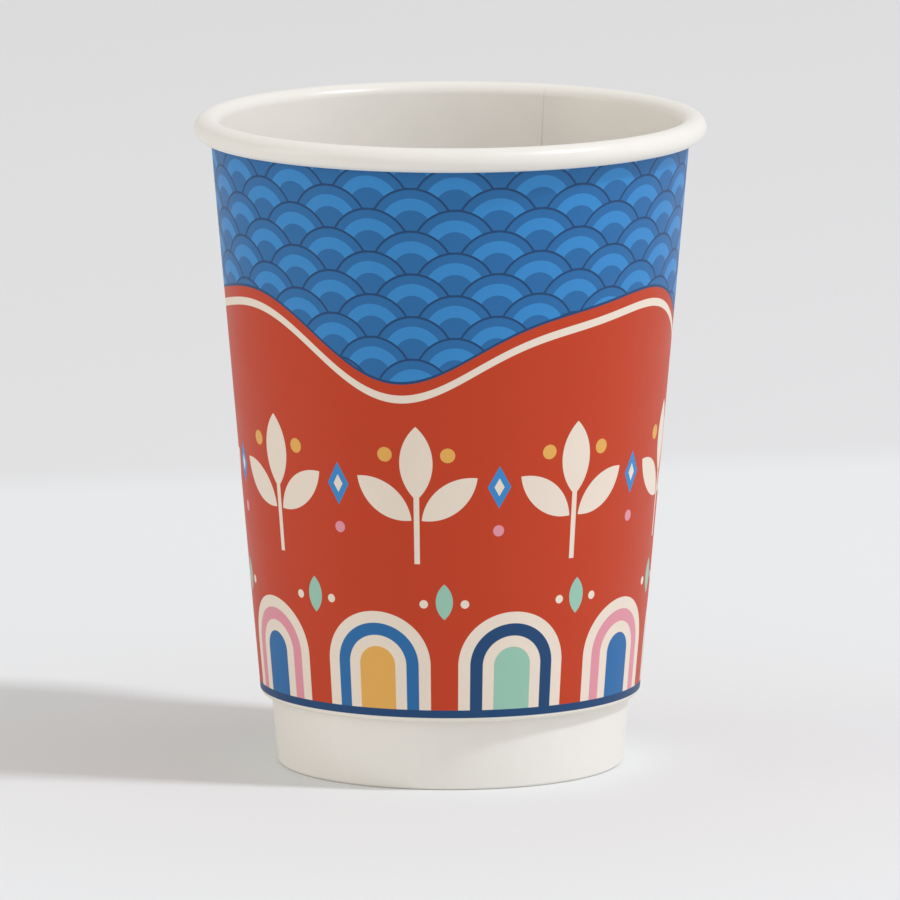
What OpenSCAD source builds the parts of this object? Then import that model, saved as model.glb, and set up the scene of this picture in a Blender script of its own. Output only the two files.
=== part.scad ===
// Double-walled paper cup for hot drinks: an inner wall with a rolled rim and
// a folded foot, a round base held in that fold, and a printed outer wall
// that hangs under the rim and keeps an air gap round the drink.
// The origin is the centre of the foot, on the surface that the cup stands on.

/* [Cup] */
// Outside diameter of the rolled rim, which a lid snaps over
rim_d = 90; // [80:1:100]
// Height from the table to the top of the rim
cup_h = 115; // [90:1:160]
// Outside diameter of the foot
foot_d = 61; // [52:1:66]

/* [Inner wall] */
// Thickness of the inner wall's coated paper
wall_t = 0.35; // [0.25:0.05:0.5]
// Diameter of the rolled rim's tube
roll_d = 4.3; // [3.5:0.1:5.3]
// How far the paper winds round the rim, in degrees
roll_turn = 400; // [340:10:420]
// Angle round the cup to the inner wall's side seam
wall_seam_at = 66; // [0:1:359]

/* [Base] */
// Thickness of the base's paper
base_t = 0.3; // [0.2:0.05:0.4]
// Height of the base's underside above the table
base_lift = 7; // [5:0.5:14]
// Radius of the base's turned edge, along the middle of the paper
base_edge_r = 0.6; // [0.4:0.1:1.2]

/* [Outer wall] */
// Thickness of the printed outer wall's paper
wrap_t = 0.4; // [0.3:0.05:0.6]
// Height of the outer wall's lower edge above the table
wrap_lift = 12.5; // [8:0.5:24]
// Air gap between the walls at the outer wall's lower edge
gap_foot = 1.5; // [1.1:0.1:2.5]
// Air gap between the walls just under the rim
gap_rim = 0.85; // [0.5:0.05:1.2]
// Height of the hem that is turned up inside the outer wall
hem_h = 5; // [3:0.5:8]
// Angle round the cup to the outer wall's side seam
wrap_seam_at = 112; // [0:1:359]

/* [Seams and seats] */
// Width of a side seam at the rim, where the paper laps over itself
lap_w = 8; // [5:0.5:12]
// Height of the step at a seam's edge, once the lap has been pressed
lap_step = 0.2; // [0.1:0.02:0.24]
// Clearance between pieces that seat on each other
fit = 0.02; // [0.01:0.01:0.05]

/* [Hidden] */
$fn = 96;

// Degrees between the points of the rolled rim, and of a tight fold
roll_step = 10;
fold_step = 20;
// A lapped wall's radius changes by lap_step in a turn, so round pieces seat in it with this play
play = lap_step / 2 + fit;

// Directions along a wall that leans out by the given tilt, and square out from it
function up(tilt) = [sin(tilt), cos(tilt)];
function out(tilt) = [cos(tilt), -sin(tilt)];

// A point of the paper's middle, as [radius, height, angle of the direction square to the paper].
// On a bend it lies at angle a round the centre, and turn flips its direction.
function bend(centre, r, a, turn = 0) = [centre.x + r * cos(a), centre.y + r * sin(a), a + turn];
function moved(point, d, tilt) = point + d * [sin(tilt), cos(tilt), 0];

// The tilt of a wall that bends into two curls, r in all from their centres, which are d apart
function tilt_between(d, r) = acos(r / norm(d)) - atan2(d.y, d.x);

// The rim's roll, the foot's fold and the wall between them, along the middle of the paper
roll_r = (roll_d - wall_t) / 2;
roll_c = [(rim_d - roll_d) / 2, cup_h - roll_d / 2];
fold_r = (wall_t + base_t) / 2 + play;
fold_outer_r = fold_r + wall_t / 2;
fold_c = [foot_d / 2 - fold_outer_r, fold_outer_r * cos(fold_step / 2)];
wall_tilt = tilt_between(roll_c - fold_c, roll_r + fold_r);

// The base's turned edge starts its bend at this height, and the fold ends just below it
base_y = base_lift + base_t / 2;
base_bend_y = base_y - base_edge_r;
fold_clear = 0.4;

// After this much of the roll's winding, the paper's loose edge moves in inside the first turn
tuck_from = 240;
tuck_turn = 90;
tuck_gap = 0.1;

// A point this far square out from the inner wall's outer face, at a given height
function off_wall(gap, y) =
    let (from = fold_c + (fold_outer_r + gap) * out(wall_tilt))
    from + (y - from.y) / cos(wall_tilt) * up(wall_tilt);

// The outer wall's hem rests on the inner wall, and its top stands off by the gap under the rim
hem_seat = 2 * play;
hem_r = (gap_foot - hem_seat) / 2;
hem_c = off_wall(hem_seat + wrap_t / 2 + hem_r, wrap_lift + hem_r + wrap_t / 2);
wrap_head = off_wall(gap_rim + wrap_t / 2, cup_h - roll_d);
wrap_tilt = tilt_between(wrap_head - hem_c, hem_r);

// Radius of the rim's roll after some degrees of winding
function winding_r(turn) =
    let (done = min(max((turn - tuck_from) / tuck_turn, 0), 1))
    roll_r - (wall_t + tuck_gap) * (1 - cos(180 * done)) / 2;

// Half turn of a fold, from the outer side of a tilted wall down and round to the inner side
function fold_path(centre, r, tilt) =
    let (angles = concat([-tilt], [for (a = [-fold_step : -fold_step : -180 + fold_step]) a], [-180 - tilt]))
    [for (a = angles) bend(centre, r, a)];

// Section of paper of thickness t, whose middle follows a path
module paper(path, t) {
    function face(p, d) = [p.x + d * cos(p.z), p.y + d * sin(p.z)];
    last = len(path) - 1;
    polygon(concat([for (p = path) face(p, t / 2)], [for (i = [last : -1 : 0]) face(path[i], -t / 2)]));
}

// A sheet wound round the cup: two half turns about centres half a step apart bring its end
// outside its start, and the end then laps on. The first child is the full section, the
// second the part of it that the lap doubles.
module wound(seam_at) {
    lap_turn = lap_w / (rim_d / 2) * 180 / PI;
    rotate([0, 0, seam_at]) {
        rotate_extrude(angle = 180) translate([-lap_step / 2, 0]) children(0);
        translate([lap_step / 2, 0]) rotate_extrude(angle = 180, start = 180) children(0);
        rotate_extrude(angle = lap_turn) translate([lap_step / 2, 0]) children(1);
    }
}

// Inner wall: rolled out and down at the rim, folded in and up round the base at the foot
module inner_wall() {
    roll = [for (turn = [roll_turn : -roll_step : roll_step]) bend(roll_c, winding_r(turn), 180 - turn, -180)];
    wall_top = bend(roll_c, roll_r, 180 - wall_tilt, -180);
    fold = fold_path(fold_c, fold_r, wall_tilt);
    fold_end = fold[len(fold) - 1];
    fold_edge = moved(fold_end, (base_bend_y - fold_clear - fold_end.y) / cos(wall_tilt), wall_tilt);
    color([0.95, 0.94, 0.92]) wound(wall_seam_at) {
        paper(concat(roll, [wall_top], fold, [fold_edge]), wall_t);
        paper(concat(roll, [wall_top, fold[0]]), wall_t);
    }
}

// Base: a flat disc whose edge turns down into the fold of the inner wall
module base_disc() {
    skirt = (base_bend_y - base_edge_r * sin(wall_tilt) - fold_c.y) / cos(wall_tilt);
    skirt_foot = [fold_c.x, fold_c.y, -wall_tilt];
    edge_c = fold_c + skirt * up(wall_tilt) - base_edge_r * out(wall_tilt);
    edge = [for (a = [-wall_tilt : (90 + wall_tilt) / 6 : 90]) bend(edge_c, base_edge_r, a)];
    color([0.93, 0.92, 0.9]) rotate_extrude()
        paper(concat([skirt_foot], edge, [[0, base_y, 90]]), base_t);
}

// Outer wall: its top stands under the rolled rim, its hem turns in and up on the inner wall
module outer_wall() {
    hem = fold_path(hem_c, hem_r, wrap_tilt);
    face = hem_c + (hem_r + wrap_t / 2) * out(wrap_tilt) - roll_c;
    along = face * up(wrap_tilt);
    rise = -along - sqrt(along ^ 2 - face * face + (roll_d / 2 + play) ^ 2);
    head = moved(hem[0], rise, wrap_tilt);
    hem_edge = moved(hem[len(hem) - 1], hem_h - hem_r, wall_tilt);
    color([0.8, 0.27, 0.17]) wound(wrap_seam_at) {
        paper(concat([head], hem, [hem_edge]), wrap_t);
        paper([head, hem[0]], wrap_t);
    }
}

inner_wall();
base_disc();
outer_wall();
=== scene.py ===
"""Looks of a double-walled paper cup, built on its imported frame.

The cup's three sheets of paper are wound here as they are on the real cup, at the sizes of the
frame, and dressed in coated white paper and in a print of plain colour fields and simple shapes.
"""

import logging
import math
from dataclasses import dataclass, field
from enum import Enum
from typing import Optional, Sequence, Union

import bmesh
import bpy
from mathutils import Matrix, Vector


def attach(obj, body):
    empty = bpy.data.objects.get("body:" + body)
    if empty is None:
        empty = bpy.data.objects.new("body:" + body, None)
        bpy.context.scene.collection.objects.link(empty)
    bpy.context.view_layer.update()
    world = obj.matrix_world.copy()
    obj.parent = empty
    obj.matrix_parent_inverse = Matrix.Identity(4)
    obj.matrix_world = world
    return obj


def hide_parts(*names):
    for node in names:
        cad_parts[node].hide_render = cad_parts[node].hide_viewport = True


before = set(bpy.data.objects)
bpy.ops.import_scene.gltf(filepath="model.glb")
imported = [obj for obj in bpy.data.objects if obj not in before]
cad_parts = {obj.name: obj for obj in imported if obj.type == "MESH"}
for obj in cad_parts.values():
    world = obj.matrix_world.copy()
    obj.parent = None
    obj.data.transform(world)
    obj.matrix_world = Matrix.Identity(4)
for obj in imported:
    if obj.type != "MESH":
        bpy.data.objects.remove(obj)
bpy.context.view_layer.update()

LOG = logging.getLogger("paper_cup")
MM = 0.001

# A length, or a share of one, that counts as nothing
TINY = 1e-6
# Faces that meet at more than this angle, in degrees, keep a hard edge between them
SHARP_ANGLE = 50.0
# How many strips make the side of a wall, and the edge that is folded in below it
SIDE_STRIPS = 26
EDGE_STRIPS = 5
# The UV map of the flat sheet
UNROLLED = "unrolled"
# Sockets of a Mix node that mixes colours
MIX_FACTOR, MIX_UNDER, MIX_OVER, MIX_RESULT = 0, 6, 7, 2
# Makes up for the slope of a diamond's sides, so that its edge is about as soft as the others
LOZENGE_EVENING = 0.6
# The light of the lamps on the right, and of the one on the left
COOL = (0.91, 0.93, 1.0)
WARM = (1.0, 0.92, 0.8)


class Ink(Enum):
    """Colours of the paper and of the inks on it, as they look in plain light (sRGB, 0 to 255)."""

    WHITE = (236, 232, 225)
    BARE = (233, 228, 217)
    VERMILION = (192, 58, 20)
    BLUE = (34, 104, 164)
    LIGHT_BLUE = (50, 134, 200)
    DEEP_BLUE = (20, 66, 112)
    CREAM = (233, 219, 203)
    PINK = (222, 146, 160)
    MINT = (150, 196, 176)
    OCHRE = (226, 170, 84)

    def linear(self) -> tuple[float, float, float, float]:
        """The ink's colour in the linear values that a shader takes."""
        return (*(to_linear(channel / 255) for channel in self.value), 1.0)


def to_linear(channel: float) -> float:
    """One sRGB channel, 0 to 1, as a linear value."""
    return channel / 12.92 if channel <= 0.04045 else ((channel + 0.055) / 1.055) ** 2.4


# Numbers that a shader works out


@dataclass(frozen=True)
class Num:
    """A number that a shader works out at each point of a surface, used with plain arithmetic."""

    tree: bpy.types.NodeTree
    socket: bpy.types.NodeSocket

    def op(self, operation: str, *others: "Amount", clamp: bool = False) -> "Num":
        """Runs a Math node on this number and up to two others.

        Args:
            operation: The Math node's operation.
            others: The other inputs, as numbers of either kind.
            clamp: Whether to hold the result between 0 and 1.

        Returns:
            The node's result.
        """
        node = self.tree.nodes.new("ShaderNodeMath")
        node.operation = operation
        node.use_clamp = clamp
        for socket, amount in zip(node.inputs, (self, *others)):
            if isinstance(amount, Num):
                self.tree.links.new(amount.socket, socket)
            else:
                socket.default_value = amount
        return Num(self.tree, node.outputs[0])

    def __add__(self, other: "Amount") -> "Num":
        """Sum."""
        return self.op("ADD", other)

    def __sub__(self, other: "Amount") -> "Num":
        """Difference."""
        return self.op("SUBTRACT", other)

    def __mul__(self, other: "Amount") -> "Num":
        """Product."""
        return self.op("MULTIPLY", other)

    def __truediv__(self, other: "Amount") -> "Num":
        """Quotient."""
        return self.op("DIVIDE", other)

    def __abs__(self) -> "Num":
        """Size without sign."""
        return self.op("ABSOLUTE")

    def fraction(self) -> "Num":
        """What is left over past the last whole number."""
        return self.op("FRACT")

    def floor(self) -> "Num":
        """The last whole number."""
        return self.op("FLOOR")

    def most(self, other: "Amount") -> "Num":
        """The greater of two numbers."""
        return self.op("MAXIMUM", other)

    def below(self, other: "Amount") -> "Num":
        """1 where this is the lesser of two numbers, and 0 elsewhere."""
        return self.op("LESS_THAN", other)

    def above(self, other: "Amount") -> "Num":
        """1 where this is the greater of two numbers, and 0 elsewhere."""
        return self.op("GREATER_THAN", other)

    def wave(self) -> "Num":
        """Sine of this number of whole turns."""
        return (self * math.tau).op("SINE")

    def hypot(self, other: "Num") -> "Num":
        """Length of the line whose two legs are these numbers."""
        return (self * self + other * other).op("SQRT")

    def cover(self, soft: float) -> "Num":
        """1 where this distance is negative and 0 where it is positive, with a soft step between."""
        return (self * (-1 / soft)).op("ADD", 0.5, clamp=True)


Amount = Union[Num, float, int]


@dataclass(frozen=True)
class Spot:
    """A point of a flat pattern, in millimetres across and up."""

    x: Num
    y: Num

    def moved(self, across: float, up: float) -> "Spot":
        """The spot as seen from a place that lies across and up from the origin."""
        return Spot(self.x - across, self.y - up)

    def turned(self, degrees: float) -> "Spot":
        """The spot in axes that are turned anticlockwise by some degrees."""
        c, s = math.cos(math.radians(degrees)), math.sin(math.radians(degrees))
        return Spot(self.x * c + self.y * s, self.y * c - self.x * s)

    def mirrored(self) -> "Spot":
        """The spot with its left half folded over its right."""
        return Spot(abs(self.x), self.y)

    def distance(self) -> Num:
        """How far the spot is from the origin."""
        return self.x.hypot(self.y)


# Shapes of the print, as the distance outside their outline, in millimetres, negative inside


def disc(at: Spot, radius: float) -> Num:
    """A round disc about the origin."""
    return at.distance() - radius


def bar(at: Spot, half_width: float, half_height: float) -> Num:
    """A rectangle about the origin."""
    return (abs(at.x) - half_width).most(abs(at.y) - half_height)


def lozenge(at: Spot, half_width: float, half_height: float) -> Num:
    """A diamond about the origin."""
    slope = half_height / half_width
    return (abs(at.x) * slope + abs(at.y) - half_height) * LOZENGE_EVENING


def leaf(at: Spot, length: float, width: float) -> Num:
    """A pointed leaf about the origin, upright, where two discs overlap."""
    radius = (length**2 + width**2) / (4 * width)
    return disc(at.mirrored().moved(width / 2 - radius, 0), radius)


def arch(at: Spot, radius: float) -> Num:
    """An arch whose round head springs from the height of the origin, on legs that run down."""
    return Spot(at.x, at.y.most(0.0)).distance() - radius


# Finishes


@dataclass
class Dye:
    """The colour of a surface while a material is drawn, one ink over another.

    Attributes:
        tree: The material's node tree.
        colour: The colour so far.
        soft: How far an ink's edge spreads, in millimetres.
    """

    tree: bpy.types.NodeTree
    colour: bpy.types.NodeSocket
    soft: float = 0.09

    @classmethod
    def over(cls, tree: bpy.types.NodeTree, colour: Sequence[float]) -> "Dye":
        """Starts from one plain colour.

        Args:
            tree: The material's node tree.
            colour: The colour, with its alpha.

        Returns:
            The dye.
        """
        plain = tree.nodes.new("ShaderNodeRGB")
        plain.outputs[0].default_value = colour
        return cls(tree, plain.outputs[0])

    def coat(self, outline: Num, ink: Ink, share: Optional[Num] = None) -> None:
        """Prints an ink over a shape.

        Args:
            outline: The distance outside the shape, in millimetres.
            ink: The ink.
            share: What share of the ink is taken at each point, or all of it.
        """
        cover = outline.cover(self.soft)
        self.blend(cover if share is None else cover * share, ink.linear())

    def blend(self, cover: Num, colour: Sequence[float]) -> None:
        """Lays a colour over what is there.

        Args:
            cover: How thickly it covers each point, 0 to 1.
            colour: The colour, with its alpha.
        """
        mix = self.tree.nodes.new("ShaderNodeMix")
        mix.data_type = "RGBA"
        self.tree.links.new(cover.socket, mix.inputs[MIX_FACTOR])
        self.tree.links.new(self.colour, mix.inputs[MIX_UNDER])
        mix.inputs[MIX_OVER].default_value = colour
        self.colour = mix.outputs[MIX_RESULT]


class Grain(Enum):
    """The unevenness of paper: features a metre, finer layers, and how strong each of those is."""

    FIBRES = (2600, 4, 0.65)
    CLOUDS = (140, 3, 0.5)
    WAVES = (38, 1, 0.4)

    def noise(self, tree: bpy.types.NodeTree) -> Num:
        """Soft noise through space, about 0.5, on Object coordinates.

        Args:
            tree: The material's node tree.

        Returns:
            The noise.
        """
        scale, detail, roughness = self.value
        place = tree.nodes.new("ShaderNodeTexCoord")
        node = tree.nodes.new("ShaderNodeTexNoise")
        node.inputs["Scale"].default_value = scale
        node.inputs["Detail"].default_value = detail
        node.inputs["Roughness"].default_value = roughness
        tree.links.new(place.outputs["Object"], node.inputs["Vector"])
        return Num(tree, node.outputs[0])


def unrolled(tree: bpy.types.NodeTree) -> tuple[Num, Num]:
    """Finds where a point lies on the flat sheet.

    Args:
        tree: The material's node tree.

    Returns:
        Turns round the cup, and the share of the side's height, which is negative on the fold.
    """
    uv = tree.nodes.new("ShaderNodeUVMap")
    uv.uv_map = UNROLLED
    split = tree.nodes.new("ShaderNodeSeparateXYZ")
    tree.links.new(uv.outputs[0], split.inputs[0])
    return Num(tree, split.outputs[0]), Num(tree, split.outputs[1])


def new_material(name: str) -> tuple[bpy.types.Material, bpy.types.NodeTree, bpy.types.Node]:
    """Makes a plain material.

    Args:
        name: The material's name.

    Returns:
        The material, its node tree and its shader.
    """
    material = bpy.data.materials.new(name)
    material.use_nodes = True
    return material, material.node_tree, material.node_tree.nodes["Principled BSDF"]


@dataclass(frozen=True)
class Paper:
    """Paper: its colour, how it shines, and the fine unevenness of its face.

    Attributes:
        name: The material's name.
        colour: The bare paper's colour.
        roughness: How dull the face is.
        gloss: How much the face mirrors, as the shader's specular level.
        cloud: How much the colour varies from place to place.
        tooth: Height of the fibres that show through, in metres.
        swell: Height of the slow waves in the sheet, in metres.
        cloud_dulling: How much the dullness varies from place to place.
        fibre_dulling: How much the dullness varies with the fibres.
    """

    name: str
    colour: Ink
    roughness: float = 0.42
    gloss: float = 0.4
    cloud: float = 0.025
    tooth: float = 0.000005
    swell: float = 0.00005
    cloud_dulling: float = 0.12
    fibre_dulling: float = 0.1

    def draw(self, dye: Dye) -> Optional[Num]:
        """Prints on the paper or presses it. Plain paper has neither.

        Args:
            dye: The surface's colour so far.

        Returns:
            The height of what is pressed or printed, in metres, or None.
        """
        return None

    def make(self) -> bpy.types.Material:
        """Builds the material.

        Returns:
            The finished material.
        """
        material, tree, shader = new_material(self.name)
        dye = Dye.over(tree, self.colour.linear())
        relief = self.draw(dye)
        fibres, clouds, waves = (grain.noise(tree) for grain in Grain)
        tint = tree.nodes.new("ShaderNodeHueSaturation")
        value = (clouds - 0.5) * (2 * self.cloud) + ((fibres - 0.5) * self.cloud + 1.0)
        tree.links.new(value.socket, tint.inputs["Value"])
        tree.links.new(dye.colour, tint.inputs["Color"])
        tree.links.new(tint.outputs[0], shader.inputs["Base Color"])
        dull = (clouds - 0.5) * self.cloud_dulling + ((fibres - 0.5) * self.fibre_dulling + self.roughness)
        tree.links.new(dull.socket, shader.inputs["Roughness"])
        height = fibres * self.tooth + waves * self.swell
        if relief is not None:
            height = height + relief
        bump = tree.nodes.new("ShaderNodeBump")
        bump.inputs["Distance"].default_value = 1.0
        tree.links.new(height.socket, bump.inputs["Height"])
        tree.links.new(bump.outputs[0], shader.inputs["Normal"])
        shader.inputs["Specular IOR Level"].default_value = self.gloss
        return material


@dataclass(frozen=True)
class CrimpedPaper(Paper):
    """Paper of the inner wall's outer face, knurled where tools pressed the foot's fold together.

    Attributes:
        ridges: How many ridges go round.
        ridge: Height of a ridge, in metres.
        crimp_at: Where the knurling's middle lies past the foot's turn, as a share of the side.
        crimp_half: Half the knurling's height, as a share of the side.
        crimp_fade: How far the knurling's edge spreads, as a share of the side.
    """

    ridges: int = 150
    ridge: float = 0.00005
    crimp_at: float = 0.038
    crimp_half: float = 0.018
    crimp_fade: float = 0.005

    def draw(self, dye: Dye) -> Optional[Num]:
        """Presses upright ridges into the paper all round the inside of the foot.

        Args:
            dye: The surface's colour so far.

        Returns:
            The ridges' height, in metres.
        """
        turns, share = unrolled(dye.tree)
        pressed = (abs(share + self.crimp_at) - self.crimp_half).cover(self.crimp_fade)
        return (turns * float(self.ridges)).wave() * pressed * self.ridge


@dataclass(frozen=True)
class Border:
    """A row of shapes that repeats round the cup.

    Attributes:
        count: How many times it repeats.
        height: Height of the row's middle above the wall's lower edge, in millimetres.
        girth: The wall's length round the cup at that height, in millimetres.
        shift: How far the row is moved round, in repeats.
    """

    count: int
    height: float
    girth: float
    shift: float = 0.0

    def steps(self, turns: Num) -> Num:
        """The place along the row, in repeats."""
        return turns * float(self.count) + self.shift

    def spot(self, turns: Num, y: Num) -> Spot:
        """The place within one repeat, about its middle."""
        return Spot((self.steps(turns).fraction() - 0.5) * (self.girth / self.count), y - self.height)

    def every(self, turns: Num, period: int, phase: int) -> Num:
        """Picks one repeat out of every few.

        Args:
            turns: Turns round the cup.
            period: Out of how many repeats one is picked.
            phase: How many repeats it comes before a whole number of periods.

        Returns:
            1 in the repeats that are picked, and 0 in the others.
        """
        periods = (self.steps(turns).floor() + float(phase)) / float(period)
        return periods.fraction().below(0.5 / period)


@dataclass(frozen=True)
class PrintedPaper(Paper):
    """The outer wall's paper, with a scaled blue band, sprigs on vermilion, and arches below.

    Attributes:
        rise: Length of the printed wall from its lower edge to its top, in millimetres.
        girth_low: Length round the wall at its lower edge, in millimetres.
        girth_top: Length round the wall at its top, in millimetres.
        margin: Bare paper left along the lower edge, in millimetres.
        foot_line: Width of the deep blue line above the bare paper, in millimetres.
        band: How far the blue band reaches down from the wall's top, on average, in millimetres.
        scale: Radius of the band's scales, in millimetres.
        stretch: How much longer than the girth the print came out, so that it misses at the seam.
        ink: Thickness of the ink's film, in metres.
    """

    rise: float = 99.0
    girth_low: float = 210.0
    girth_top: float = 264.0
    margin: float = 0.1
    foot_line: float = 1.4
    band: float = 29.5
    scale: float = 7.6
    stretch: float = 0.0025
    ink: float = 0.000004

    def girth_at(self, y: float) -> float:
        """Length round the wall at a height, in millimetres."""
        return self.girth_low + (self.girth_top - self.girth_low) * y / self.rise

    def border(self, count: int, y: float, shift: float) -> Border:
        """A row of shapes at a height."""
        return Border(count, y, self.girth_at(y), shift)

    def draw(self, dye: Dye) -> Optional[Num]:
        """Prints the whole wall, and leaves its lower edge bare.

        Args:
            dye: The surface's colour so far.

        Returns:
            The height of the ink's film, in metres.
        """
        turns, share = unrolled(dye.tree)
        turns = turns * (1.0 - self.stretch)
        y = share * self.rise
        bare = y - self.margin
        dye.coat(bare * -1.0, Ink.VERMILION)
        self.scaled_band(turns, y, dye)
        self.sprigs(turns, y, dye)
        self.arches(turns, y, dye)
        dye.coat(bare, self.colour)
        return (bare * -1.0).cover(dye.soft) * self.ink

    def scaled_band(self, turns: Num, y: Num, dye: Dye) -> None:
        """Prints a blue band of overlapping scales under the rim, with a waved lower edge.

        Args:
            turns: Turns round the cup.
            y: Height on the wall, in millimetres.
            dye: The surface's colour so far.
        """
        long_wave = (turns * 3.0 + 0.52).wave() * 6.8
        short_wave = (turns * 6.0 + 0.4).wave() * 1.6
        edge = long_wave + short_wave + (self.rise - self.band)
        field_of_blue = edge - y
        dye.coat(field_of_blue - 3.6, Ink.CREAM)
        dye.coat(field_of_blue - 2.2, Ink.VERMILION)
        dye.coat(field_of_blue, Ink.BLUE)
        inside = field_of_blue.cover(dye.soft)
        middle_of_band = self.rise - 16.0
        count = round(self.girth_at(middle_of_band) / (2 * self.scale))
        low, next_up = (self.scale_middle(turns, y, count, row) for row in (0, 1))
        nearest = low + (next_up - low) * low.above(self.scale)
        outline = 0.4
        dye.coat(nearest * -1.0 + (self.scale - outline), Ink.DEEP_BLUE, inside)
        dye.coat(nearest - 5.7, Ink.LIGHT_BLUE, inside)
        dye.coat(nearest - 3.6, Ink.BLUE, inside)
        dye.coat(abs(field_of_blue) - 0.25, Ink.DEEP_BLUE)

    def scale_middle(self, turns: Num, y: Num, count: int, row: int) -> Num:
        """Distance to the nearest middle of a scale in one of the rows that reach a point.

        Args:
            turns: Turns round the cup.
            y: Height on the wall, in millimetres.
            count: How many scales go round the cup.
            row: 0 for the lowest row that can reach the point, 1 for the next one up.

        Returns:
            The distance, in millimetres.
        """
        step = self.scale / 2
        index = ((y - self.scale) / step).floor() + (1.0 + row)
        odd = (index * 0.5).fraction()
        across = ((turns * float(count) + odd).fraction() - 0.5) * (2 * self.scale)
        return across.hypot(y - index * step)

    def sprigs(self, turns: Num, y: Num, dye: Dye) -> None:
        """Prints a row of three-leaved sprigs round the middle, with small diamonds between them.

        Args:
            turns: Turns round the cup.
            y: Height on the wall, in millimetres.
            dye: The surface's colour so far.
        """
        at = self.border(8, 41.0, 0.2).spot(turns, y)
        dye.coat(bar(at.moved(0, -6.4), 0.5, 6.8), Ink.CREAM)
        dye.coat(leaf(at.moved(0, 4.8), 13.2, 5.8), Ink.CREAM)
        dye.coat(leaf(at.mirrored().moved(5.8, -1.6).turned(-52), 12.4, 5.2), Ink.CREAM)
        dye.coat(disc(at.mirrored().moved(5.5, 6.3), 1.3), Ink.OCHRE)
        between = self.border(8, 41.5, 0.7).spot(turns, y)
        dye.coat(lozenge(between, 2.1, 3.8), Ink.LIGHT_BLUE)
        dye.coat(lozenge(between, 0.9, 1.6), Ink.CREAM)
        dye.coat(disc(between.moved(0, -7.8), 1.0), Ink.PINK)

    def arches(self, turns: Num, y: Num, dye: Dye) -> None:
        """Prints a row of banded arches along the lower edge, in three sets of colours.

        Args:
            turns: Turns round the cup.
            y: Height on the wall, in millimetres.
            dye: The surface's colour so far.
        """
        row = self.border(9, 9.4, 0.1)
        at = row.spot(turns, y)
        for radius, inks in (
            (9.6, (Ink.CREAM,)),
            (7.5, (Ink.BLUE, Ink.PINK, Ink.DEEP_BLUE)),
            (5.3, (Ink.CREAM,)),
            (3.3, (Ink.OCHRE, Ink.BLUE, Ink.MINT)),
        ):
            outline = arch(at, radius)
            dye.coat(outline, inks[0])
            for phase, ink in enumerate(inks[1:], start=1):
                dye.coat(outline, ink, row.every(turns, len(inks), phase))
        between = self.border(9, 21.0, 0.6).spot(turns, y)
        dye.coat(leaf(between, 6.4, 3.0), Ink.MINT)
        dye.coat(disc(between.mirrored().moved(3.6, -0.4), 0.75), Ink.CREAM)
        dye.coat(y - (self.margin + self.foot_line), Ink.DEEP_BLUE)


# Sheets of paper


def point(centre: Vector, radius: float, degrees: float) -> Vector:
    """A point at an angle round a centre, as radius and height."""
    return centre + radius * Vector((math.cos(math.radians(degrees)), math.sin(math.radians(degrees))))


def up(tilt: float) -> Vector:
    """The direction up a wall that leans out by some degrees."""
    return Vector((math.sin(math.radians(tilt)), math.cos(math.radians(tilt))))


def out(tilt: float) -> Vector:
    """The direction square out from a wall that leans out by some degrees."""
    return Vector((math.cos(math.radians(tilt)), -math.sin(math.radians(tilt))))


def tilt_between(gap: Vector, radius: float) -> float:
    """The tilt of a wall that bends into two curls.

    Args:
        gap: From the lower curl's centre to the upper one's.
        radius: The distances of the wall from the two centres, added up.

    Returns:
        The tilt, in degrees.
    """
    return math.degrees(math.acos(radius / gap.length) - math.atan2(gap.y, gap.x))


def arc(centre: Vector, radius: float, start: float, end: float, count: int) -> list[Vector]:
    """Points along an arc, with both its ends."""
    return [point(centre, radius, start + (end - start) * i / count) for i in range(count + 1)]


def straight(start: Vector, end: Vector, count: int) -> list[Vector]:
    """Points along a line, without its start."""
    return [start.lerp(end, (i + 1) / count) for i in range(count)]


def as_object(
    bm: bmesh.types.BMesh, name: str, finishes: Sequence[bpy.types.Material]
) -> bpy.types.Object:
    """Makes a mesh into a smooth object in the scene, and frees the bmesh.

    Args:
        bm: The mesh.
        name: The object's name.
        finishes: Its materials.

    Returns:
        The object.
    """
    mesh = bpy.data.meshes.new(name)
    bm.to_mesh(mesh)
    bm.free()
    for finish in finishes:
        mesh.materials.append(finish)
    for polygon in mesh.polygons:
        polygon.use_smooth = True
    piece = bpy.data.objects.new(name, mesh)
    bpy.context.scene.collection.objects.link(piece)
    return piece


def thicken(piece: bpy.types.Object, thickness: float) -> None:
    """Gives a sheet its thickness, half to each side, and keeps its cut edges sharp.

    Args:
        piece: The sheet's object.
        thickness: The paper's thickness, in metres.
    """
    wall = piece.modifiers.new("paper", "SOLIDIFY")
    wall.thickness = thickness
    wall.offset = 0.0
    wall.use_even_offset = True
    wall.use_quality_normals = True
    wall.material_offset = 1
    wall.material_offset_rim = 1
    solid = bpy.data.meshes.new_from_object(piece.evaluated_get(bpy.context.evaluated_depsgraph_get()))
    piece.modifiers.clear()
    thin, piece.data = piece.data, solid
    bpy.data.meshes.remove(thin)
    solid.name = piece.name
    solid.set_sharp_from_angle(angle=math.radians(SHARP_ANGLE))


Element = Union[bmesh.types.BMVert, bmesh.types.BMEdge]


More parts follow.
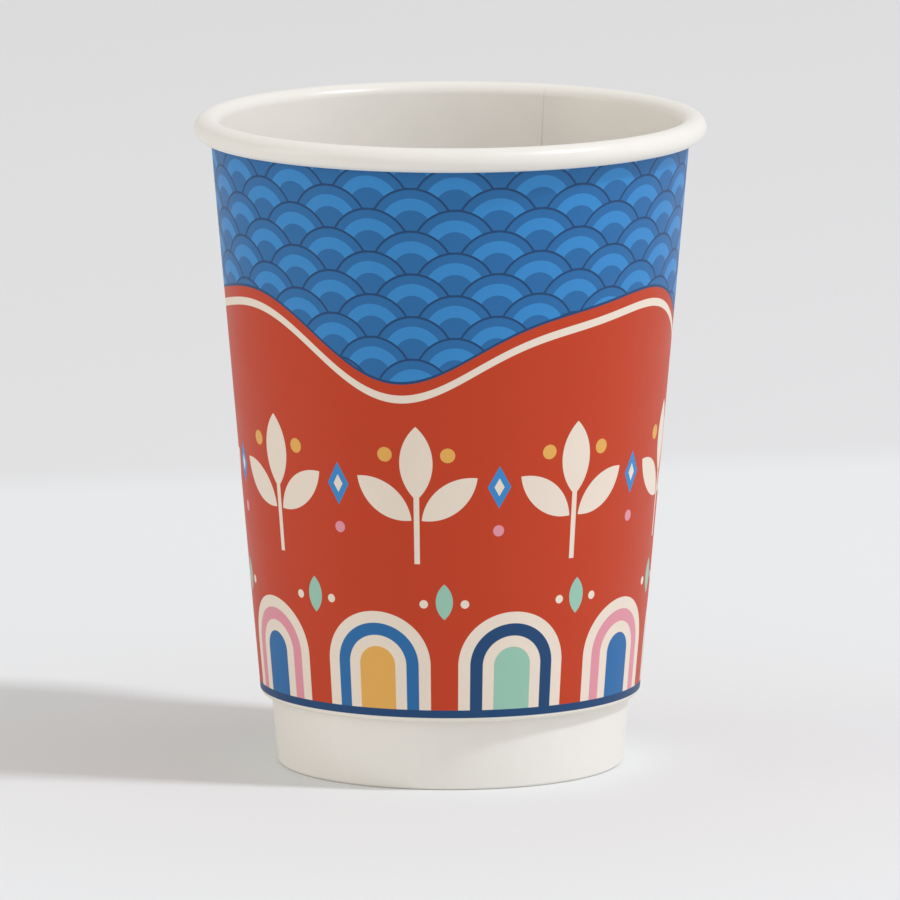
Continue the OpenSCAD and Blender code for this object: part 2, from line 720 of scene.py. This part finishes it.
@dataclass
class Sheet:
    """A sheet of paper wound once round the cup, whose end laps over its start.

    Attributes:
        name: The piece's name.
        thickness: The paper's thickness, in metres.
        path: The middle of the paper's section, as radius and height, from its upper end.
        foot: The point of the path where the side meets the fold below, which the lap leaves out.
        seam_at: Angle round the cup to the seam, in degrees.
        lap_turn: How far the lap goes round the cup, in degrees.
        lap_step: How far the pressed lap lies outside the sheet's start, in metres.
        steps: How many facets half a turn has.
    """

    name: str
    thickness: float
    path: list[Vector]
    foot: int
    seam_at: float
    lap_turn: float
    lap_step: float = 0.2 * MM
    steps: int = 120

    def shares(self, top: int) -> list[float]:
        """Heights of the path's points along the sheet, as shares of the side's.

        Args:
            top: The point of the path where the side ends.

        Returns:
            The shares, 0 at the foot and 1 at the top of the side.
        """
        lengths = [0.0]
        for a, b in zip(self.path, self.path[1:]):
            lengths.append(lengths[-1] + (b - a).length)
        low, rise = lengths[self.foot], lengths[self.foot] - lengths[top]
        return [(low - length) / rise for length in lengths]

    def wind(self, finishes: Sequence[bpy.types.Material], top: int = 0) -> bpy.types.Object:
        """Winds the sheet, gives it its thickness and dresses it.

        Args:
            finishes: The materials of the outer face, and of the inner face and the cut edges.
            top: The point of the path where the side ends.

        Returns:
            The finished piece.
        """
        bm = bmesh.new()
        flat = bm.verts.layers.float_vector.new("flat")
        shift, facet = self.lap_step / 2, 180 / self.steps
        verts = [bm.verts.new((place.x - shift, 0, place.y)) for place in self.path]
        for vert, share in zip(verts, self.shares(top)):
            vert[flat] = (0, share, 0)
        section = verts + [bm.edges.new(pair) for pair in zip(verts, verts[1:])]
        for centre in (0.0, shift):
            section = self.sweep(bm, flat, section, centre, 180.0, self.steps)
        side = [
            element for element in section
            if all(vert[flat].y > -TINY for vert in getattr(element, "verts", (element,)))
        ]
        self.sweep(bm, flat, side, 0.0, self.lap_turn, round(self.lap_turn / facet))
        unrolled_map = bm.loops.layers.uv.new(UNROLLED)
        for face in bm.faces:
            for loop in face.loops:
                loop[unrolled_map].uv = loop.vert[flat].xy
        bmesh.ops.recalc_face_normals(bm, faces=bm.faces)
        self.face_outwards(bm)
        turn = Matrix.Rotation(math.radians(self.seam_at), 3, "Z")
        bmesh.ops.rotate(bm, verts=bm.verts, cent=(0, 0, 0), matrix=turn)
        piece = as_object(bm, self.name, finishes)
        thicken(piece, self.thickness)
        return piece

    def sweep(
        self,
        bm: bmesh.types.BMesh,
        flat: bmesh.types.BMLayerItem,
        section: Sequence[Element],
        centre: float,
        turn: float,
        count: int,
    ) -> list[Element]:
        """Spins a section round a centre, facet by facet, and notes how far round its points are.

        Args:
            bm: The mesh.
            flat: The layer that holds each point's place on the flat sheet.
            section: The section's points and edges.
            centre: How far the centre lies from the cup's axis, towards the seam, in metres.
            turn: How far to spin, in degrees.
            count: How many facets to make.

        Returns:
            The points and edges of the last section.
        """
        facet = turn / count
        for _ in range(count):
            section = bmesh.ops.spin(
                bm, geom=section, cent=(centre, 0, 0), axis=(0, 0, 1), dvec=(0, 0, 0),
                angle=math.radians(facet), steps=1, use_merge=False, use_normal_flip=False,
                use_duplicate=False,
            )["geom_last"]
            for vert in (element for element in section if isinstance(element, bmesh.types.BMVert)):
                vert[flat] = vert[flat] + Vector((facet / 360, 0, 0))
        return section

    def face_outwards(self, bm: bmesh.types.BMesh) -> None:
        """Turns the sheet over if the face half way up the side looks inwards.

        Args:
            bm: The mesh.
        """
        level = (self.path[0].y + self.path[self.foot].y) / 2
        face = min(bm.faces, key=lambda each: abs(each.calc_center_median().z - level))
        middle = face.calc_center_median()
        if face.normal.dot(Vector((middle.x, middle.y, 0))) < 0:
            bmesh.ops.reverse_faces(bm, faces=bm.faces)


@dataclass
class InnerWall:
    """The cup's inner wall, from the loose end of its rolled rim to the edge folded in at the foot.

    Attributes:
        rim_radius: Outside radius of the rolled rim.
        height: Height of the rim's top.
        foot_radius: Outside radius of the foot.
        thickness: The paper's thickness.
        roll: Diameter of the rolled rim's tube.
        winding: How far the paper winds round the rim, in degrees.
        roll_step: Degrees between the points of the roll.
        tuck_from: How far round the roll the loose edge starts to move in, in degrees.
        tuck_turn: How much further round it has moved in, in degrees.
        tuck_gap: Gap between the roll's first turn and the loose edge inside it.
        fold_radius: Radius of the foot's fold, along the middle of the paper.
        fold_facet: The CAD fold's facet, whose flat side the cup stands on, in degrees.
        fold_top: Height of the folded edge.
        seam_at: Angle round the cup to the seam, in degrees.
        lap: Width of the seam at the rim.
    """

    rim_radius: float = 45.0 * MM
    height: float = 115.0 * MM
    foot_radius: float = 30.5 * MM
    thickness: float = 0.35 * MM
    roll: float = 4.3 * MM
    winding: int = 400
    roll_step: int = 8
    tuck_from: float = 240.0
    tuck_turn: float = 90.0
    tuck_gap: float = 0.1 * MM
    fold_radius: float = 0.445 * MM
    fold_facet: float = 20.0
    fold_top: float = 6.15 * MM
    seam_at: float = 66.0
    lap: float = 8.0 * MM

    def __post_init__(self) -> None:
        """Works out the centres of the roll and the fold, and the wall's tilt between them."""
        self.roll_radius = (self.roll - self.thickness) / 2
        self.roll_centre = Vector((self.rim_radius - self.roll / 2, self.height - self.roll / 2))
        reach = self.fold_radius + self.thickness / 2
        stand = reach * math.cos(math.radians(self.fold_facet / 2))
        self.fold_centre = Vector((self.foot_radius - reach, stand))
        gap = self.roll_centre - self.fold_centre
        self.tilt = tilt_between(gap, self.roll_radius + self.fold_radius)

    def off_wall(self, gap: float, height: float) -> Vector:
        """The point at a height that lies some way square out from the wall's outer face."""
        start = self.fold_centre + (self.fold_radius + self.thickness / 2 + gap) * out(self.tilt)
        return start + (height - start.y) / math.cos(math.radians(self.tilt)) * up(self.tilt)

    def winding_radius(self, turn: float) -> float:
        """Radius of the rim's roll after some degrees, as its loose end tucks in."""
        done = min(max((turn - self.tuck_from) / self.tuck_turn, 0.0), 1.0)
        return self.roll_radius - (self.thickness + self.tuck_gap) * (1 - math.cos(math.pi * done)) / 2

    def build(self, outside: bpy.types.Material, inside: bpy.types.Material) -> bpy.types.Object:
        """Winds the wall in one sheet, rim, side and fold together.

        Args:
            outside: The material of the outer face.
            inside: The material of the inner face and the cut edges.

        Returns:
            The finished piece.
        """
        turns = range(self.winding, 0, -self.roll_step)
        rim = [point(self.roll_centre, self.winding_radius(turn), 180 - turn) for turn in turns]
        top = point(self.roll_centre, self.roll_radius, 180 - self.tilt)
        low = point(self.fold_centre, self.fold_radius, -self.tilt)
        side = straight(top, low, SIDE_STRIPS)
        fold = arc(self.fold_centre, self.fold_radius, -self.tilt, -180 - self.tilt, 12)[1:]
        rise = (self.fold_top - fold[-1].y) / math.cos(math.radians(self.tilt))
        edge = straight(fold[-1], fold[-1] + rise * up(self.tilt), EDGE_STRIPS)
        sheet = Sheet(
            "inner_wall_paper", self.thickness, rim + [top] + side + fold + edge,
            len(rim) + len(side), self.seam_at, math.degrees(self.lap / self.rim_radius),
        )
        return sheet.wind((outside, inside), len(rim))


@dataclass
class BaseDisc:
    """The cup's base, a flat round of paper with its edge turned down into the wall's fold.

    Attributes:
        wall: The inner wall that holds it.
        thickness: The paper's thickness.
        lift: Height of the base's underside.
        edge_radius: Radius of the turned edge, along the middle of the paper.
        facets: How many facets go round.
    """

    wall: InnerWall
    thickness: float = 0.3 * MM
    lift: float = 7.0 * MM
    edge_radius: float = 0.6 * MM
    facets: int = 192

    def section(self) -> list[Vector]:
        """Draws the middle of the paper's section.

        Returns:
            Its points, as radius and height, from the skirt's lower edge to the cup's axis.
        """
        tilt, middle, foot = self.wall.tilt, self.lift + self.thickness / 2, self.wall.fold_centre
        slope = math.radians(tilt)
        bend_height = middle - self.edge_radius
        skirt = (bend_height - self.edge_radius * math.sin(slope) - foot.y) / math.cos(slope)
        centre = foot + skirt * up(tilt) - self.edge_radius * out(tilt)
        bend = arc(centre, self.edge_radius, -tilt, 90, 8)
        flat = straight(bend[-1], Vector((0, middle)), 14)
        return [foot] + straight(foot, bend[0], EDGE_STRIPS) + bend[1:] + flat

    def build(self, finish: bpy.types.Material) -> bpy.types.Object:
        """Spins the base's section round the cup's axis.

        Args:
            finish: The material of both faces.

        Returns:
            The finished piece.
        """
        bm = bmesh.new()
        verts = [bm.verts.new((place.x, 0, place.y)) for place in self.section()]
        edges = [bm.edges.new(pair) for pair in zip(verts, verts[1:])]
        bmesh.ops.spin(
            bm, geom=verts + edges, cent=(0, 0, 0), axis=(0, 0, 1), dvec=(0, 0, 0), angle=math.tau,
            steps=self.facets, use_merge=True, use_normal_flip=False, use_duplicate=False,
        )
        bmesh.ops.remove_doubles(bm, verts=bm.verts, dist=TINY)
        bmesh.ops.recalc_face_normals(bm, faces=bm.faces)
        piece = as_object(bm, "base_paper", (finish, finish))
        thicken(piece, self.thickness)
        return piece


@dataclass
class OuterWall:
    """The printed outer wall, from its top under the rim to the hem turned up inside it.

    Attributes:
        wall: The inner wall that it stands on.
        thickness: The paper's thickness.
        lift: Height of its lower edge.
        gap_foot: Air gap between the walls at the lower edge.
        gap_rim: Air gap between the walls just under the rim.
        hem: Height of the hem turned up inside.
        play: Room left for the step of the inner wall's seam.
        seam_at: Angle round the cup to the seam, in degrees.
        lap: Width of the seam at the rim.
    """

    wall: InnerWall
    thickness: float = 0.4 * MM
    lift: float = 12.5 * MM
    gap_foot: float = 1.5 * MM
    gap_rim: float = 0.85 * MM
    hem: float = 5.0 * MM
    play: float = 0.12 * MM
    seam_at: float = 112.0
    lap: float = 8.0 * MM

    def __post_init__(self) -> None:
        """Works out the hem's centre, the wall's tilt and where its top stands under the rim."""
        self.hem_radius = (self.gap_foot - 2 * self.play) / 2
        curl = self.hem_radius + self.thickness / 2
        self.hem_centre = self.wall.off_wall(2 * self.play + curl, self.lift + curl)
        head = self.wall.off_wall(self.gap_rim + self.thickness / 2, self.wall.height - self.wall.roll)
        self.tilt = tilt_between(head - self.hem_centre, self.hem_radius)
        self.low = point(self.hem_centre, self.hem_radius, -self.tilt)
        face = self.low + self.thickness / 2 * out(self.tilt) - self.wall.roll_centre
        along = face.dot(up(self.tilt))
        reach = self.wall.roll / 2 + self.play
        rise = -along - math.sqrt(along**2 - face.dot(face) + reach**2)
        self.top = self.low + rise * up(self.tilt)

    def paper(self) -> PrintedPaper:
        """Lays the print out for this wall's size.

        Returns:
            The printed paper.
        """
        skin = self.thickness / 2
        return PrintedPaper(
            "printed_paper", Ink.BARE, roughness=0.46, gloss=0.3, rise=(self.top - self.low).length / MM,
            girth_low=math.tau * (self.low.x + skin) / MM, girth_top=math.tau * (self.top.x + skin) / MM,
        )

    def build(self, outside: bpy.types.Material, inside: bpy.types.Material) -> bpy.types.Object:
        """Winds the wall and its hem in one sheet.

        Args:
            outside: The material of the outer face.
            inside: The material of the inner face and the cut edges.

        Returns:
            The finished piece.
        """
        side = straight(self.top, self.low, SIDE_STRIPS)
        hem = arc(self.hem_centre, self.hem_radius, -self.tilt, -180 - self.tilt, 14)[1:]
        rise = (self.hem - self.hem_radius) * up(self.wall.tilt)
        edge = straight(hem[-1], hem[-1] + rise, EDGE_STRIPS)
        sheet = Sheet(
            "outer_wall_paper", self.thickness, [self.top] + side + hem + edge, len(side),
            self.seam_at, math.degrees(self.lap / self.wall.rim_radius),
        )
        return sheet.wind((outside, inside))


@dataclass
class Cup:
    """The whole cup: its three sheets of paper and their finishes."""

    inner: InnerWall = field(default_factory=InnerWall)

    def __post_init__(self) -> None:
        """Sizes the base and the outer wall to the inner wall."""
        self.base = BaseDisc(self.inner)
        self.outer = OuterWall(self.inner)

    def build(self) -> None:
        """Builds each sheet and hands it to the frame."""
        outside = CrimpedPaper("coated_white_paper", Ink.WHITE).make()
        inside = Paper("coated_inside", Ink.WHITE, roughness=0.34, gloss=0.5).make()
        base = Paper("base_paper", Ink.WHITE, roughness=0.38, cloud=0.02).make()
        bare = Paper("bare_paper", Ink.BARE, roughness=0.7, tooth=0.00001).make()
        printed = self.outer.paper().make()
        self.place(self.inner.build(outside, inside), "inner_wall", "inner_paper")
        self.place(self.base.build(base), "base_disc", "base_paper")
        self.place(self.outer.build(printed, bare), "outer_wall", "printed_paper")

    def place(self, piece: bpy.types.Object, node: str, slot: str) -> None:
        """Rides a finished piece on the cup's body, in the place of its node.

        Args:
            piece: The piece.
            node: The node that it replaces.
            slot: The record's material slot; not used.
        """
        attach(piece, "root")
        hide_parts(node)
        LOG.info("%s: %d faces in the place of %s", piece.name, len(piece.data.polygons), node)


# Studio


def stand(data: bpy.types.ID, place: Sequence[float], target: Vector) -> bpy.types.Object:
    """Stands a lamp or a camera in the scene, under its own name.

    Args:
        data: The lamp or camera.
        place: Where it stands, in metres.
        target: The point that it is aimed at.

    Returns:
        Its object.
    """
    thing = bpy.data.objects.new(data.name, data)
    thing.location = place
    thing.rotation_euler = (target - thing.location).to_track_quat("-Z", "Y").to_euler()
    bpy.context.scene.collection.objects.link(thing)
    return thing


@dataclass(frozen=True)
class Lamp:
    """A soft square lamp.

    Attributes:
        name: The lamp's name.
        place: Where it hangs, in metres.
        size: The length of its side, in metres.
        power: Its power, in watts.
        colour: The colour of its light.
    """

    name: str
    place: tuple[float, float, float]
    size: float
    power: float
    colour: tuple[float, float, float]

    def hang(self, target: Vector) -> None:
        """Hangs the lamp in the scene.

        Args:
            target: The point that it is aimed at.
        """
        data = bpy.data.lights.new(self.name, "AREA")
        data.size = self.size
        data.energy = self.power
        data.color = self.colour
        stand(data, self.place, target)


@dataclass
class Studio:
    """A plain pale floor, soft light from the right, and a camera at the photograph's angle.

    Attributes:
        camera_distance: How far the camera stands in front of the cup, in metres.
        camera_height: How high it stands, in metres.
        lens: Its focal length, in millimetres.
        aim_height: Height of the point that the camera and the lamps are aimed at, in metres.
        floor_half: Half the length of the floor's side, in metres.
        floor_front: Colour of the floor round the cup.
        floor_behind: Colour of the floor past the line that stands for the backdrop's foot.
        floor_edge: How far behind the cup that line runs, in metres.
        floor_edge_slope: How much further behind it runs, a metre to the right.
        floor_edge_fade: How far its edge spreads, in metres.
        world_colour: Colour of the light from all round.
        world_strength: Strength of that light.
    """

    camera_distance: float = 2.543
    camera_height: float = 0.469
    lens: float = 585.0
    aim_height: float = 0.0553
    floor_half: float = 6.0
    floor_front: tuple[float, ...] = (0.812, 0.822, 0.824, 1)
    floor_behind: tuple[float, ...] = (0.76, 0.76, 0.766, 1)
    floor_edge: float = 0.316
    floor_edge_slope: float = 0.2
    floor_edge_fade: float = 0.03
    world_colour: tuple[float, ...] = (1.0, 0.995, 0.975, 1)
    world_strength: float = 0.68
    lamps: tuple[Lamp, ...] = (
        Lamp("key", (2.38, -0.82, 3.16), 0.4, 69.0, COOL),
        Lamp("side", (2.42, -0.43, 0.49), 1.4, 6.2, COOL),
        Lamp("fill", (-2.66, -0.71, 0.54), 1.4, 13.5, WARM),
    )

    def build(self) -> None:
        """Makes the floor, the lamps, the world and the camera."""
        target = Vector((0, 0, self.aim_height))
        self.floor()
        for lamp in self.lamps:
            lamp.hang(target)
        self.world()
        self.camera(target)

    def floor(self) -> None:
        """A wide flat floor, a shade darker past the line that stands for the backdrop's foot."""
        bm = bmesh.new()
        bmesh.ops.create_grid(bm, x_segments=2, y_segments=2, size=self.floor_half)
        material, tree, shader = new_material("pale_floor")
        shader.inputs["Roughness"].default_value = 0.8
        shader.inputs["Specular IOR Level"].default_value = 0.2
        place = tree.nodes.new("ShaderNodeTexCoord")
        split = tree.nodes.new("ShaderNodeSeparateXYZ")
        tree.links.new(place.outputs["Object"], split.inputs[0])
        x, y = Num(tree, split.outputs[0]), Num(tree, split.outputs[1])
        line = x * self.floor_edge_slope + self.floor_edge
        dye = Dye.over(tree, self.floor_front)
        dye.blend((line - y).cover(self.floor_edge_fade), self.floor_behind)
        tree.links.new(dye.colour, shader.inputs["Base Color"])
        as_object(bm, "floor", (material,))

    def world(self) -> None:
        """Even pale light from all round."""
        world = bpy.data.worlds.new("studio")
        world.use_nodes = True
        ground = world.node_tree.nodes["Background"]
        ground.inputs["Color"].default_value = self.world_colour
        ground.inputs["Strength"].default_value = self.world_strength
        bpy.context.scene.world = world

    def camera(self, target: Vector) -> None:
        """Stands the camera where the photograph's was, with a lens that frames one cup.

        Args:
            target: The point that it is aimed at.
        """
        data = bpy.data.cameras.new("camera")
        data.sensor_width = 36.0
        data.lens = self.lens
        data.clip_start, data.clip_end = 0.1, 20.0
        place = (0, -self.camera_distance, self.camera_height)
        bpy.context.scene.camera = stand(data, place, target)


def main() -> None:
    """Builds the cup and then its studio."""
    logging.basicConfig(level=logging.INFO, format="%(name)s: %(message)s")
    Cup().build()
    Studio().build()
    bpy.context.scene.view_settings.view_transform = "Standard"


if __name__ == "__main__":
    main()
